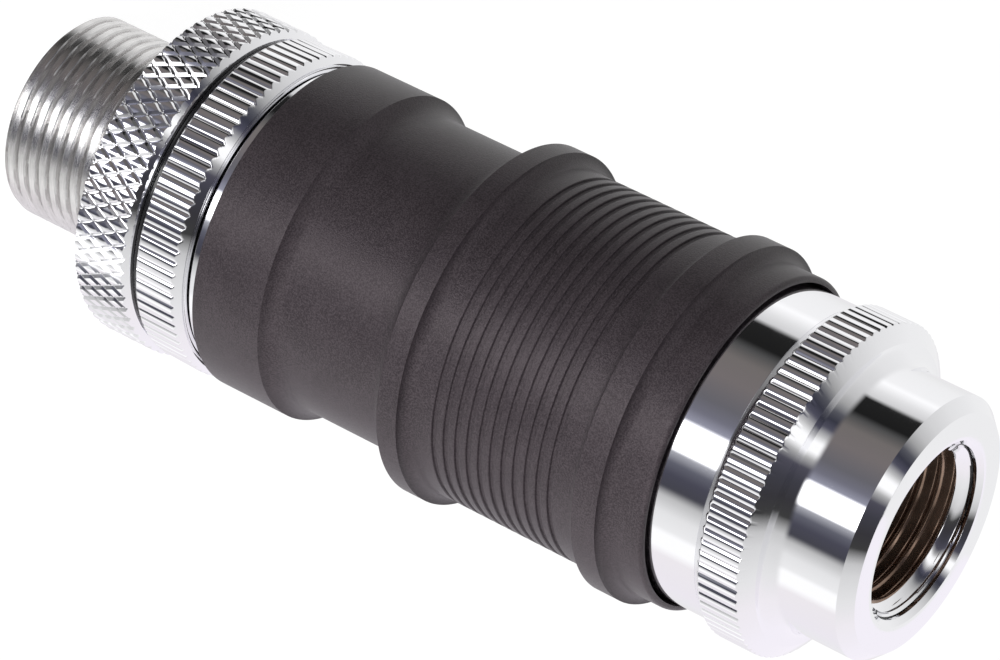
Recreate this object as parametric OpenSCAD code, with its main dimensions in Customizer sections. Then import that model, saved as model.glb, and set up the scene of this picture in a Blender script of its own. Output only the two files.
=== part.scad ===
// Screw-to-connect quick coupling for a liquid cooling loop, both halves joined.
// The bulkhead half stands on its threaded stem. Z runs along the axis, from the
// stem's end at Z = 0 to the plug's face at the top. All sizes are in millimetres.

/* [Stem] */
// Outer diameter of the stem's M16 x 1 thread
stem_d = 16; // [15.6:0.1:16.6]
// Length of the stem, from its end to the flange
stem_l = 16.85; // [16.2:0.05:20]
// Pitch of the stem's thread
stem_pitch = 1; // [0.75:0.25:1.5]
// Chamfer where the thread starts
stem_chamfer = 0.4; // [0.2:0.1:0.6]
// Bore that the coolant runs through, behind each port
flow_d = 10; // [8:0.5:10.5]

/* [Ports] */
// Tapping bore of the G1/4 threads
port_bore_d = 11.445; // [11.3:0.005:11.8]
// Diameter of the mouth where a port's lead-in cone starts
port_mouth_d = 13.2; // [12.6:0.1:13.4]
// Depth of each port, cone and thread together
port_depth = 10.2; // [8:0.1:10.2]
// Diameter of the shallow countersink in the plug's face
port_sink_d = 14.1; // [13.6:0.1:15]

/* [Flanges] */
// Diameter of the stem's fluted flange
flange_d = 25.66; // [25:0.02:27]
// Thickness of the stem's flange
flange_h = 4.05; // [3.8:0.05:6]
// How far the plug's fluted flange stands above the polished barrel
plug_flange_rise = 0.64; // [0.4:0.02:1.4]
// Number of flutes round each flange
flute_count = 84; // [60:1:90]
// Depth of each flute, a V groove
flute_depth = 0.22; // [0.1:0.01:0.3]

/* [Nut and gasket] */
// Diameter of the knurled nut
nut_d = 26.1; // [24:0.1:30]
// Height of the nut
nut_h = 4.8; // [3.6:0.1:6]
// Diamonds round the nut's knurl
knurl_count = 68; // [48:1:72]
// Depth of the knurl
knurl_depth = 0.21; // [0.12:0.01:0.3]
// Angle of the knurl's grooves to the axis
knurl_angle = 30; // [25:1:35]
// Thickness of the flat gasket between nut and flange
gasket_h = 0.75; // [0.5:0.05:1.2]

/* [Sleeve] */
// Wall of the sleeve round the union thread
sleeve_wall = 1.3; // [1.1:0.05:1.6]
// Wall of the sleeve's tail, outside the guide ring
tail_wall = 0.75; // [0.7:0.05:1]
// Height of the two raised collars
collar_rise = 0.93; // [0.5:0.01:1.3]
// Depth of the waist behind the first collar
waist_depth = 1.03; // [0.5:0.01:1.1]
// Gap between the stem's flange and the sleeve
sleeve_gap = 1.2; // [0.8:0.1:1.8]
// Length of the sleeve's tail, before the waist
tail_l = 6.05; // [5:0.05:6.6]
// Length from the sleeve's tail end to the first collar
collar1_at = 17.45; // [16.5:0.05:18.2]
// Width of the first collar
collar1_w = 1.7; // [1.2:0.1:2]
// Number of ring grooves in the grip
groove_count = 11; // [6:1:11]
// Distance from one ring groove to the next
groove_pitch = 1; // [0.8:0.02:1]
// Width of each ring groove
groove_w = 0.5; // [0.3:0.05:0.6]
// Depth of each ring groove
groove_depth = 0.16; // [0.08:0.02:0.24]
// Width of the second collar
collar2_w = 1.98; // [1.4:0.02:2.4]
// Length of the plain mouth in front of the second collar
mouth_l = 3.3; // [2.9:0.1:4]
// Wall of the sleeve's mouth
mouth_wall = 0.45; // [0.35:0.05:0.55]

/* [Union thread] */
// Height of the thread that draws the halves together, above the barrel
union_step = 0.9; // [0.7:0.05:1.1]
// Length of the thread that is engaged
union_l = 5; // [4:0.1:5]
// Pitch of the thread
union_pitch = 1.5; // [1:0.25:1.5]

/* [Socket body] */
// Diameter of the barrel inside the sleeve
barrel_d = 21.2; // [20.8:0.1:21.4]
// Width of the shoulder between the barrel and the journal that the sleeve turns on
slip_land = 0.6; // [0.5:0.05:0.8]
// Step from the journal down to the thread that holds the barrel in the stem
tail_step = 1; // [0.9:0.05:1.2]
// Length of that thread
tail_thread_l = 3.1; // [2.6:0.1:3.1]
// Bore of the socket's valve chamber
chamber_d = 14; // [13.4:0.1:14.4]
// Wall of the barrel round the bore that takes the plug's nose
barrel_wall = 2.6; // [2.4:0.05:2.8]
// Length of the plain guide ring
guide_l = 3.3; // [2.8:0.1:3.5]
// Depth of the bore that takes the plug's nose
nose_bore_l = 11.5; // [11:0.1:12]

/* [Valves] */
// Travel of each poppet from open to shut
valve_travel = 2.5; // [1.5:0.1:2.6]
// Diameter of the socket's valve seat opening
seat_d = 9; // [8.4:0.1:9.4]
// Diameter of the plug's valve seat opening
plug_seat_d = 8.8; // [8.4:0.1:9.2]
// Diameter of the poppets' tips, where they push each other
tip_d = 3.4; // [2.8:0.1:4]
// Diameter of the poppets' guide stems
poppet_stem_d = 3; // [2.4:0.1:3.4]
// Wire of the valve springs
spring_wire_d = 0.9; // [0.6:0.05:1.1]
// Turns in each valve spring
spring_turns = 5.5; // [4.5:0.5:6.5]

/* [Plug] */
// Gap between the sleeve's mouth and the polished barrel in it
mouth_gap = 0.25; // [0.2:0.05:0.35]
// Length of bare barrel between the sleeve and the flange
plug_bare_l = 3.94; // [3:0.02:5]
// Wall of the plug's nose round its valve chamber
nose_wall = 1.95; // [1.7:0.05:2.2]
// Width of the fluted part of the plug's flange
flute_l = 3.04; // [2.4:0.02:4]
// Diameter of the neck that ends in the port
neck_d = 20.06; // [19:0.02:21]
// Length of the neck, from the flange's shoulder to the face
neck_l = 6.5; // [5.5:0.02:8]
// Width of the chamfer round the face
face_chamfer = 0.9; // [0.5:0.1:1.2]

/* [Hidden] */
$fn = 96;

running = 0.05;       // radial clearance of a running fit
seated = 0.02;        // radial clearance of two pieces that stay together
play = 0.3;           // room between bodies that never touch
edge = 0.15;          // broken edge of a turned part
past = 1;             // how far a cut runs past what it cuts
cove_steps = 8;
spring_sides = 8;
spring_steps = 24;    // rings in each turn of a spring

// Stem, from the bottom up
stem_r = stem_d / 2;
flange_r = flange_d / 2;
flange_top = stem_l + flange_h;
flange_bevel = 0.75;              // height of the bevel above the flutes
flange_bevel_in = 0.53;           // how far the bevel falls
tail_z = flange_top - tail_thread_l;
barrel_r = barrel_d / 2;
journal_r = barrel_r - slip_land;
tail_r = journal_r - tail_step;
seal_cord = 1.42;                 // cord of the two static O-rings
seal_r = tail_r + seal_cord / 2 + seated;
seal_room_r = seal_r + seal_cord / 2 + seated;
seal_room_h = seal_cord + seated;

// Guide ring, journal and barrel
guide_top = flange_top + guide_l;
guide_step = 0.55;                // shoulder that holds the guide ring's bore
guide_bevel = 0.25;
guide_seat_r = tail_r + guide_step;
sleeve_z = flange_top + sleeve_gap;
union_r = barrel_r + union_step;
sleeve_r = union_r + sleeve_wall;
sleeve_bore_r = sleeve_r - tail_wall;
guide_r = sleeve_bore_r - running;
lip_z = guide_top + play;
slip_h = 0.7;
collar_seat_at = 9.9;             // from the sleeve's tail end to the shoulder that it pulls on
collar_seat_z = sleeve_z + collar_seat_at;
slip_z = collar_seat_z - slip_h;
lip_top = slip_z - running;

// Outline of the sleeve
waist_r = sleeve_r - waist_depth;
collar_r = sleeve_r + collar_rise;
tail_cove = 1.6;                  // radius of the cove from the tail to the waist
waist_z = sleeve_z + tail_l + cove_run(waist_r, sleeve_r, tail_cove);
collar1_z = sleeve_z + collar1_at;
grip_gap = 2.41;                  // from the first collar to the first groove
grip_end = 2.26;                  // from the last groove to the second collar
grip_z = collar1_z + collar1_w + grip_gap;
grip_l = groove_pitch * (groove_count - 1) + groove_w;
collar2_z = grip_z + grip_l + grip_end;
sleeve_top = collar2_z + collar2_w + mouth_l;
mouth_r = sleeve_r - mouth_wall;
mouth_round = 0.3;

// Union thread, barrel front and plug shoulder
union_in = 0.4;                   // from the top of the second collar down to the thread's end
union_lead = 0.25;                // how far the plug's thread starts before the sleeve's
union_run = 0.55;                 // plain stretch behind the plug's thread
union_top = collar2_z + collar2_w - union_in;
union_z = union_top - union_l;
plug_shoulder_z = union_z - union_lead;
face_seal_h = 0.7;
barrel_top = plug_shoulder_z - face_seal_h - running;
relief_z = barrel_top - play;     // where the sleeve's bore opens for the thread

// Socket valve
chamber_r = chamber_d / 2;
socket_bore_r = barrel_r - barrel_wall;
seat_r = seat_d / 2;
seat_top = barrel_top - nose_bore_l;
seat_land = 1.5;
lead_in = 0.4;                              // lead-in bevel for the nose
lead_l = 0.6;
seat_low = seat_top - seat_land;            // where the seat's cone starts
cone_low = seat_low - (chamber_r - seat_r); // where it meets the chamber

// Plug nose and valve
nose_r = socket_bore_r - running;
nose_z = seat_top + play;
nose_seal_cord = 1;
nose_seal_at = 6.7;                         // from the nose's end to the middle of its O-ring
nose_seal_z = nose_z + nose_seal_at;
nose_groove_h = 1.3;
nose_bevel = 0.3;
plug_chamber_r = nose_r - nose_wall;
plug_seat_r = plug_seat_d / 2;
plug_seat_land = 1.2;
plug_seat_top = nose_z + plug_seat_land;
plug_cone_top = plug_seat_top + plug_chamber_r - plug_seat_r;

// Both poppets
tip_r = tip_d / 2;
poppet_stem_r = poppet_stem_d / 2;
poppet_past = 1.4;                          // how far each open poppet's stem runs past its spring seat
tip_in = 0.2;                               // from the nose's end to where the tips face each other
tip_z = nose_z - tip_in;
tip_gap = 0.1;
shut_gap = 0.25;                            // axial room between cone and seat when shut
head_rim = 0.8;                             // room round each head
head_rim_h = 1.5;
seal_proud = 0.14;                          // how far each poppet's O-ring stands proud
cone_end_r = 4;
socket_head_r = chamber_r - head_rim;
socket_cone_z = cone_low + (chamber_r - socket_head_r) - shut_gap - valve_travel;
socket_cone_top = socket_cone_z + socket_head_r - cone_end_r;
plug_head_r = plug_chamber_r - head_rim;
plug_cone_z = plug_cone_top - (plug_chamber_r - plug_head_r) + shut_gap + valve_travel;
plug_cone_low = plug_cone_z - (plug_head_r - cone_end_r);
poppet_cord = 1.1;                          // cord of the poppets' O-rings

// Springs and their seats
spider_h = 1.4;
spider_hub_r = 2.5;
spider_hub_h = 3;
spider_window_r = 2.95;
spider_rim = 0.75;
spoke_w = 1.7;
spoke_count = 4;
spring_r = 4.3;
spring_gap = 0.03;
socket_spider_z = tail_z;
socket_spring_z = socket_spider_z + spider_h + spring_gap;
socket_spring_top = socket_cone_z - head_rim_h - spring_gap;

// Plug, on to its face
plug_r = mouth_r - mouth_gap;
plug_step_z = union_top + union_run;
plug_top = sleeve_top + plug_bare_l;
adapter_tail_l = 5.6;
adapter_tail_z = plug_top - adapter_tail_l;
plug_spider_top = adapter_tail_z;
plug_spring_top = plug_spider_top - spider_h - spring_gap;
plug_spring_z = plug_cone_z + head_rim_h + spring_gap;
plug_flange_r = plug_r + plug_flange_rise;
rim_h = 0.78;                               // height of the bevel below the flutes
flute_z = plug_top + rim_h;
flute_top = flute_z + flute_l;
plug_bevel_h = 0.44;                        // bevel above the flutes
plug_bevel_in = 0.66;
crest_h = 0.36;                             // flatter bevel from there to the crest
crest_in = 0.6;
shoulder_z = flute_top + plug_bevel_h + crest_h;
crest_r = plug_flange_r - plug_bevel_in - crest_in;
neck_r = neck_d / 2;
neck_cove = 1.3;
total_l = shoulder_z + neck_l;

// Ports
port_r = port_bore_d / 2;
port_mouth_r = port_mouth_d / 2;
port_cone = port_mouth_r - port_r;
port_sink_r = port_sink_d / 2;
port_sink_h = 0.32;
port_lip = 0.2;                             // straight wall between countersink and cone
port_cone_z = total_l - port_sink_h - port_lip;

// Threads, drawn as rings: shares of the pitch where a groove starts, deepens, ends deepening and closes
thread_shape = [0.14, 0.44, 0.56, 0.86];
thread_cut = 0.61;                          // depth of a metric thread as a share of its pitch
thread_end = 1;                             // plain wall behind the last ring
stem_rings = floor((stem_l - stem_chamfer - thread_end) / stem_pitch);
union_rings = floor((plug_step_z - plug_shoulder_z - edge) / union_pitch);

// Nut and gasket
gasket_z = stem_l - gasket_h;
nut_top = gasket_z;
nut_z = nut_top - nut_h;
nut_r = nut_d / 2;
nut_bevel_h = 0.42;
nut_bevel_in = 0.6;
gasket_in = 0.3;                            // how far the gasket lies inside the nut's edge

// Points [radius, height] of ring grooves that stand for a thread, from height z up
function thread_rings(r, z, count, pitch, cut) = [for (i = [0:count - 1], k = [0:3])
    [r + (k == 1 || k == 2 ? cut : 0), z + pitch * (i + thread_shape[k])]];

// Points [radius, height] of a hollow fillet that starts on a cylinder of radius low at height z
// and climbs to radius high, downwards when side is -1 and upwards when side is 1
function cove_turn(low, high, rad) = acos(max(0, 1 - (high - low) / rad));
function cove_run(low, high, rad) = rad * sin(cove_turn(low, high, rad));
function cove(z, low, high, rad, side) =
    [for (i = [0:cove_steps]) let (a = cove_turn(low, high, rad) * i / cove_steps)
        [low + rad * (1 - cos(a)), z + side * rad * sin(a)]];
function reverse(list) = [for (i = [len(list) - 1:-1:0]) list[i]];

module turned(outline) {
    rotate_extrude() polygon(outline);
}

module tube(outer, inner, z, h) {
    turned([[inner, z], [outer, z], [outer, z + h], [inner, z + h]]);
}

module o_ring(r, cord, z) {
    rotate_extrude() translate([r, z]) circle(d = cord, $fn = 24);
}

// V-shaped flutes, cut along a cylinder of radius r
module flutes(r, z, h) {
    for (i = [0:flute_count - 1])
        rotate(i * 360 / flute_count)
            translate([r, 0, z])
                cylinder(r = flute_depth, h = h, $fn = 4);
}

// Stem, flange and the port at the bottom
module bulkhead_stem() {
    color("lightgray") difference() {
        turned(concat(
            [[port_mouth_r, 0], [stem_r - stem_chamfer, 0], [stem_r, stem_chamfer]],
            thread_rings(stem_r, stem_chamfer, stem_rings, stem_pitch, -thread_cut * stem_pitch),
            [
                [stem_r, stem_l], [flange_r - edge, stem_l], [flange_r, stem_l + edge],
                [flange_r, flange_top - flange_bevel], [flange_r - flange_bevel_in, flange_top],
                [seal_room_r, flange_top], [seal_room_r, flange_top - seal_room_h],
                [tail_r + seated, flange_top - seal_room_h], [tail_r + seated, tail_z],
                [flow_d / 2, tail_z], [flow_d / 2, port_depth], [port_r, port_depth], [port_r, port_cone]
            ]
        ));
        flutes(flange_r, stem_l - past, flange_h + 2 * past);
    }
}

module stem_seal() {
    color("dimgray") o_ring(seal_r, seal_cord, flange_top - seal_room_h + seal_cord / 2);
}

module guide_ring() {
    color("silver") turned([
        [guide_seat_r + seated, flange_top], [guide_r - guide_bevel, flange_top],
        [guide_r, flange_top + guide_bevel], [guide_r, guide_top - edge],
        [guide_r - edge, guide_top], [guide_seat_r + seated, guide_top]
    ]);
}

// Barrel with the valve chamber, the seat and the bore for the nose
module socket_body() {
    color("darkgray") turned([
        [chamber_r, tail_z], [tail_r, tail_z], [tail_r, flange_top], [guide_seat_r, flange_top],
        [guide_seat_r, guide_top], [journal_r, guide_top], [journal_r, collar_seat_z],
        [barrel_r, collar_seat_z], [barrel_r, barrel_top - edge], [barrel_r - edge, barrel_top],
        [socket_bore_r + lead_in, barrel_top], [socket_bore_r, barrel_top - lead_l],
        [socket_bore_r, seat_top], [seat_r, seat_top], [seat_r, seat_low], [chamber_r, cone_low]
    ]);
}

module slip_ring() {
    color("ivory") tube(barrel_r - edge, journal_r + seated, slip_z, slip_h);
}

// Disc with spokes, which carries the spring and guides the poppet's stem
module spider(r) {
    difference() {
        union() {
            cylinder(r = r, h = spider_h);
            cylinder(r = spider_hub_r, h = spider_hub_h);
        }
        translate([0, 0, -past]) cylinder(r = poppet_stem_r + running, h = spider_hub_h + 2 * past);
        translate([0, 0, -past]) difference() {
            cylinder(r = r - spider_rim, h = spider_h + 2 * past);
            cylinder(r = spider_window_r, h = spider_h + 2 * past);
            for (i = [0:spoke_count - 1])
                rotate(i * 360 / spoke_count)
                    translate([0, -spoke_w / 2, 0]) cube([r, spoke_w, spider_h + 2 * past]);
        }
    }
}

module socket_spring_seat() {
    color("ivory") translate([0, 0, socket_spider_z]) spider(chamber_r - running);
}

module plug_spring_seat() {
    color("ivory") translate([0, 0, plug_spider_top]) mirror([0, 0, 1]) spider(plug_chamber_r - running);
}

// Height of the wire after a share t of the turns, with both end turns closed
function coil_z(t, h) = let (
        closed = 0.9 / spring_turns,
        low = 0.9 * spring_wire_d,
        high = h - spring_wire_d - low
    )
    t < closed ? t * spring_turns * spring_wire_d :
    t > 1 - closed ? h - spring_wire_d - (1 - t) * spring_turns * spring_wire_d :
    low + (high - low) * (t - closed) / (1 - 2 * closed);

// Round wire swept along a helix with closed ends
module coil_spring(z, h) {
    rings = spring_turns * spring_steps;
    wire_r = spring_wire_d / 2;
    points = [for (i = [0:rings], j = [0:spring_sides - 1])
        let (
            t = i / rings,
            around = 360 * spring_turns * t,
            a = 360 * (j + 0.5) / spring_sides,
            rad = spring_r + wire_r * cos(a)
        )
        [rad * cos(around), rad * sin(around), z + wire_r + coil_z(t, h) + wire_r * sin(a)]];
    sides = [for (i = [0:rings - 1], j = [0:spring_sides - 1])
        let (k = (j + 1) % spring_sides)
        [i * spring_sides + j, (i + 1) * spring_sides + j, (i + 1) * spring_sides + k, i * spring_sides + k]];
    first = [for (j = [0:spring_sides - 1]) j];
    last = [for (j = [spring_sides - 1:-1:0]) rings * spring_sides + j];
    polyhedron(points, concat(sides, [first, last]));
}

module socket_valve_spring() {
    color("gainsboro") coil_spring(socket_spring_z, socket_spring_top - socket_spring_z);
}

module plug_valve_spring() {
    color("gainsboro") coil_spring(plug_spring_z, plug_spring_top - plug_spring_z);
}

module panel_gasket() {
    color("black") tube(nut_r - nut_bevel_in - gasket_in, stem_r + running, gasket_z, gasket_h);
}

// Nut with a plain bevel towards the gasket and two crossed sets of V grooves
module bulkhead_nut() {
    knurl_top = nut_top - nut_bevel_h;
    middle = (nut_z + knurl_top) / 2;
    run = (knurl_top - nut_z) / cos(knurl_angle) + 2 * past;
    color("silver") difference() {
        turned([
            [stem_r + running, nut_z], [nut_r - edge, nut_z], [nut_r, nut_z + edge],
            [nut_r, knurl_top], [nut_r - nut_bevel_in, nut_top], [stem_r + running, nut_top]
        ]);
        for (i = [0:knurl_count - 1], side = [-1, 1])
            rotate(i * 360 / knurl_count)
                translate([nut_r, 0, middle])
                    rotate([side * knurl_angle, 0, 0])
                        cylinder(r = knurl_depth, h = run, center = true, $fn = 4);
    }
}

function groove_points() = [for (i = [0:groove_count - 1], k = [0:3])
    let (z = grip_z + i * groove_pitch)
    [sleeve_r - (k == 1 || k == 2 ? groove_depth : 0), k < 2 ? z : z + groove_w]];
function mouth_points() = [for (i = [0:4]) let (a = 22.5 * i)
    [sleeve_r - mouth_round * (1 - cos(a)), sleeve_top - mouth_round * (1 - sin(a))]];

// Union sleeve with its waist, two collars and ring grooves
module coupling_sleeve() {
    color([0.27, 0.25, 0.26]) turned(concat(
        [[sleeve_bore_r, sleeve_z], [sleeve_r - edge, sleeve_z], [sleeve_r, sleeve_z + edge]],
        reverse(cove(waist_z, waist_r, sleeve_r, tail_cove, -1)),
        cove(collar1_z - (collar_r - waist_r), waist_r, collar_r, collar_r - waist_r, 1),
        reverse(cove(collar1_z + collar1_w + collar_rise, sleeve_r, collar_r, collar_rise, -1)),
        groove_points(),
        cove(collar2_z - collar_rise, sleeve_r, collar_r, collar_rise, 1),
        reverse(cove(collar2_z + collar2_w + collar_rise, sleeve_r, collar_r, collar_rise, -1)),
        mouth_points(),
        [
            [mouth_r, sleeve_top], [mouth_r, union_top], [union_r + running, union_top],
            [union_r + running, relief_z], [barrel_r + play, relief_z], [barrel_r + play, lip_top],
            [journal_r + running, lip_top], [journal_r + running, lip_z],
            [sleeve_bore_r, lip_z]
        ]
    ));
}

// Poppet with its tip, cone, rim and guide stem, drawn with the cone facing up from height 0
module poppet(head_r, tip_l, stem_l) {
    cone_h = head_r - cone_end_r;
    seal_at = (head_r + cone_end_r) / 2;
    seal_in = (poppet_cord / 2 - seal_proud) / sqrt(2);
    difference() {
        turned([
            [0, -head_rim_h - stem_l], [poppet_stem_r, -head_rim_h - stem_l], [poppet_stem_r, -head_rim_h],
            [head_r, -head_rim_h], [head_r, 0], [cone_end_r, cone_h], [tip_r, cone_h],
            [tip_r, cone_h + tip_l], [0, cone_h + tip_l]
        ]);
        o_ring(seal_at - seal_in, poppet_cord + 2 * seated, head_r - seal_at - seal_in);
    }
}
module poppet_seal(head_r) {
    seal_at = (head_r + cone_end_r) / 2;
    seal_in = (poppet_cord / 2 - seal_proud) / sqrt(2);
    o_ring(seal_at - seal_in, poppet_cord, head_r - seal_at - seal_in);
}

module socket_poppet() {
    color("goldenrod") translate([0, 0, socket_cone_z])
        poppet(socket_head_r, tip_z - socket_cone_top, socket_cone_z - head_rim_h - socket_spider_z + poppet_past);
}

module socket_poppet_seal() {
    color("dimgray") translate([0, 0, socket_cone_z]) poppet_seal(socket_head_r);
}

module plug_poppet() {
    color("goldenrod") translate([0, 0, plug_cone_z]) mirror([0, 0, 1])
        poppet(plug_head_r, plug_cone_low - tip_z - tip_gap,
            plug_spider_top - plug_cone_z - head_rim_h + poppet_past);
}

module plug_poppet_seal() {
    color("dimgray") translate([0, 0, plug_cone_z]) mirror([0, 0, 1]) poppet_seal(plug_head_r);
}

// Nose, thread and polished barrel of the plug
module plug_body() {
    color("silver") turned(concat(
        [
            [plug_seat_r, nose_z], [nose_r - nose_bevel, nose_z], [nose_r, nose_z + nose_bevel],
            [nose_r, nose_seal_z - nose_groove_h / 2],
            [nose_r - nose_seal_cord, nose_seal_z - nose_groove_h / 2],
            [nose_r - nose_seal_cord, nose_seal_z + nose_groove_h / 2],
            [nose_r, nose_seal_z + nose_groove_h / 2],
            [nose_r, plug_shoulder_z], [union_r - edge, plug_shoulder_z], [union_r, plug_shoulder_z + edge]
        ],
        thread_rings(union_r, plug_shoulder_z + edge, union_rings, union_pitch, -thread_cut * union_pitch),
        [
            [union_r, plug_step_z], [plug_r - edge, plug_step_z], [plug_r, plug_step_z + edge],
            [plug_r, plug_top], [seal_room_r, plug_top], [seal_room_r, plug_top - seal_room_h],
            [tail_r + seated, plug_top - seal_room_h], [tail_r + seated, adapter_tail_z],
            [plug_chamber_r, adapter_tail_z], [plug_chamber_r, plug_cone_top], [plug_seat_r, plug_seat_top]
        ]
    ));
}

module nose_seal() {
    color("dimgray") o_ring(nose_r - nose_seal_cord / 2 + seated, nose_seal_cord, nose_seal_z);
}

module face_seal() {
    color("dimgray") tube(barrel_r - edge, nose_r + seated, plug_shoulder_z - face_seal_h, face_seal_h);
}

// Fluted flange, neck and port of the plug
module plug_adapter() {
    color("silver") difference() {
        turned(concat(
            [
                [flow_d / 2, adapter_tail_z], [tail_r, adapter_tail_z], [tail_r, plug_top],
                [plug_r, plug_top], [plug_flange_r, flute_z], [plug_flange_r, flute_top],
                [plug_flange_r - plug_bevel_in, flute_top + plug_bevel_h], [crest_r, shoulder_z]
            ],
            reverse(cove(shoulder_z + neck_cove, neck_r, neck_r + neck_cove, neck_cove, -1)),
            [
                [neck_r, total_l - face_chamfer], [neck_r - face_chamfer, total_l],
                [port_sink_r, total_l], [port_mouth_r, total_l - port_sink_h],
                [port_mouth_r, port_cone_z], [port_r, port_cone_z - port_cone],
                [port_r, total_l - port_depth], [flow_d / 2, total_l - port_depth]
            ]
        ));
        flutes(plug_flange_r, plug_top - past, shoulder_z - plug_top + 2 * past);
    }
}

module adapter_seal() {
    color("dimgray") o_ring(seal_r, seal_cord, plug_top - seal_room_h + seal_cord / 2);
}

bulkhead_stem();
stem_seal();
guide_ring();
socket_body();
slip_ring();
socket_spring_seat();
socket_valve_spring();
panel_gasket();
bulkhead_nut();
coupling_sleeve();
socket_poppet();
socket_poppet_seal();
plug_body();
nose_seal();
face_seal();
plug_spring_seat();
plug_valve_spring();
plug_adapter();
adapter_seal();
plug_poppet();
plug_poppet_seal();
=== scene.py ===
import math

import bmesh
import bpy
from mathutils import Matrix, Vector


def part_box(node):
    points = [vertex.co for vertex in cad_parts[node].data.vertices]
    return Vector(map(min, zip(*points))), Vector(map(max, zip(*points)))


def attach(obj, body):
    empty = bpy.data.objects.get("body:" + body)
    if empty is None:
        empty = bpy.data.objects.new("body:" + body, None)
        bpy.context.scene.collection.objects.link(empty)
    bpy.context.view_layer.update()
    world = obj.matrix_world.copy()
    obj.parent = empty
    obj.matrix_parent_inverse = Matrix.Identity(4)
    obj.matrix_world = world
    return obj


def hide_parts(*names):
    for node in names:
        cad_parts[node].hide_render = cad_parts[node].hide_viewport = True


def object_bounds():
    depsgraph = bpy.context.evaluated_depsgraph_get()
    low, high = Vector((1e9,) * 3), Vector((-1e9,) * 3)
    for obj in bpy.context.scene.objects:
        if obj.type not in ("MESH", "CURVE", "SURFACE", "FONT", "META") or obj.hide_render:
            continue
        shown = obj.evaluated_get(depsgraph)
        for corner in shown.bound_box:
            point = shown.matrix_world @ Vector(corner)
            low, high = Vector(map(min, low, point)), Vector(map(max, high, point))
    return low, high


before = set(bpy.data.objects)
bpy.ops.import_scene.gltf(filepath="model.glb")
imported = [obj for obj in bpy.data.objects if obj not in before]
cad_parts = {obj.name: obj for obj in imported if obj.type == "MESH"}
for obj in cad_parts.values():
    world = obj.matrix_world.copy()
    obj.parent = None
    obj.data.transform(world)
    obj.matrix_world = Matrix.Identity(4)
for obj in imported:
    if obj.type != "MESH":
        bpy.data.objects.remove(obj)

# Sizes are in millimetres, and the meshes made from them in metres
mm = 0.001
crisp = 0.05                                        # rounding of a turned edge
weldGap, shortEdge = 0.0005, 0.0004                 # points this close merge, edges this short go
cadLow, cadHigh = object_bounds()


class Value:                                        # a socket that Python's operators work on
    def __init__(self, graph, socket):
        self.graph = graph
        self.socket = socket

    def __add__(self, other):
        return self.graph.maths("ADD", self, other)

    def __sub__(self, other):
        return self.graph.maths("SUBTRACT", self, other)

    def __rsub__(self, other):
        return self.graph.maths("SUBTRACT", other, self)

    def __mul__(self, other):
        return self.graph.maths("MULTIPLY", self, other)

    def __truediv__(self, other):
        return self.graph.maths("DIVIDE", self, other)

    def __rtruediv__(self, other):
        return self.graph.maths("DIVIDE", other, self)

    __radd__ = __add__
    __rmul__ = __mul__


class Graph:                                        # a node tree that grows one node at a time
    def __init__(self, tree):
        self.tree = tree

    # The output comes back as a Value, and a tuple of outputs as a list of them
    def node(self, kind, settings=None, sockets=None, out=0):
        made = self.tree.nodes.new(kind)
        for name, setting in (settings or {}).items():
            if name == "stops":
                fillRamp(made.color_ramp.elements, setting)
            else:
                setattr(made, name, setting)
        for key, value in (sockets or {}).items():
            if isinstance(value, Value):
                self.tree.links.new(value.socket, made.inputs[key])
            else:
                made.inputs[key].default_value = value
        if isinstance(out, tuple):
            return [Value(self, made.outputs[key]) for key in out]
        return Value(self, made.outputs[out]) if made.outputs else None

    def maths(self, operation, *values):
        return self.node("ShaderNodeMath", {"operation": operation}, dict(enumerate(values)))

    def mixed(self, share, first, second):          # colours blended by a share
        return self.node("ShaderNodeMix", {"data_type": "RGBA"}, {0: share, 6: first, 7: second}, 2)

    def ranged(self, value, low, high):             # 0 at low, 1 at high, eased between
        return self.node("ShaderNodeMapRange", {"interpolation_type": "SMOOTHSTEP"},
                         {0: value, 1: low, 2: high})


def fillRamp(points, stops):                        # stops are (place, light), the lowest place first
    points.remove(points[1])
    for k, (at, light) in enumerate(stops):
        point = points.new(at) if k else points[0]
        point.position = at
        point.color = (*light, 1)


def colour(r, g, b):
    return (r, g, b, 1.0)


def newMaterial(name, base, rough, metallic=0.0, **fixed):
    material = bpy.data.materials.new(name)
    material.use_nodes = True
    shader = material.node_tree.nodes["Principled BSDF"]
    for key, value in {"Base Color": base, "Roughness": rough, "Metallic": metallic, **fixed}.items():
        shader.inputs[key].default_value = value
    return material, Graph(material.node_tree), shader


def feed(graph, shader, **links):                   # joins values to the shader's sockets
    names = {"base": "Base Color", "rough": "Roughness", "normal": "Normal"}
    for key, value in links.items():
        graph.tree.links.new(value.socket, shader.inputs[names[key]])


def position(graph):                                # object coordinates, in millimetres
    point = graph.node("ShaderNodeTexCoord", out=3)
    return graph.node("ShaderNodeVectorMath", {"operation": "SCALE"}, {0: point, "Scale": 1 / mm})


def noise(graph, point, scale, detail=2.0, rough=0.5):
    return graph.node("ShaderNodeTexNoise", {"noise_dimensions": "3D"},
                      {"Vector": point, "Scale": scale, "Detail": detail, "Roughness": rough})


def turning(graph, point, along, around):           # marks that run round the Z axis
    x, y, z = graph.node("ShaderNodeSeparateXYZ", None, {0: point}, (0, 1, 2))
    flat = graph.node("ShaderNodeCombineXYZ", None, {0: x, 1: y})
    across = graph.node("ShaderNodeVectorMath", {"operation": "LENGTH"}, {0: flat}, 1)
    drawnOut = graph.node("ShaderNodeCombineXYZ", None,
                          {0: x * around, 1: y * around, 2: z * along + across * along})
    return noise(graph, drawnOut, scale=1.0, detail=3.0, rough=0.6)


def bumped(graph, height, strength, distance):
    return graph.node("ShaderNodeBump", None,
                      {"Strength": strength, "Distance": distance * mm, "Height": height})


chromeLook = {"base": colour(0.91, 0.91, 0.93), "rough": 0.035, "haze": 0.05, "wave": 0.02}

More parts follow.
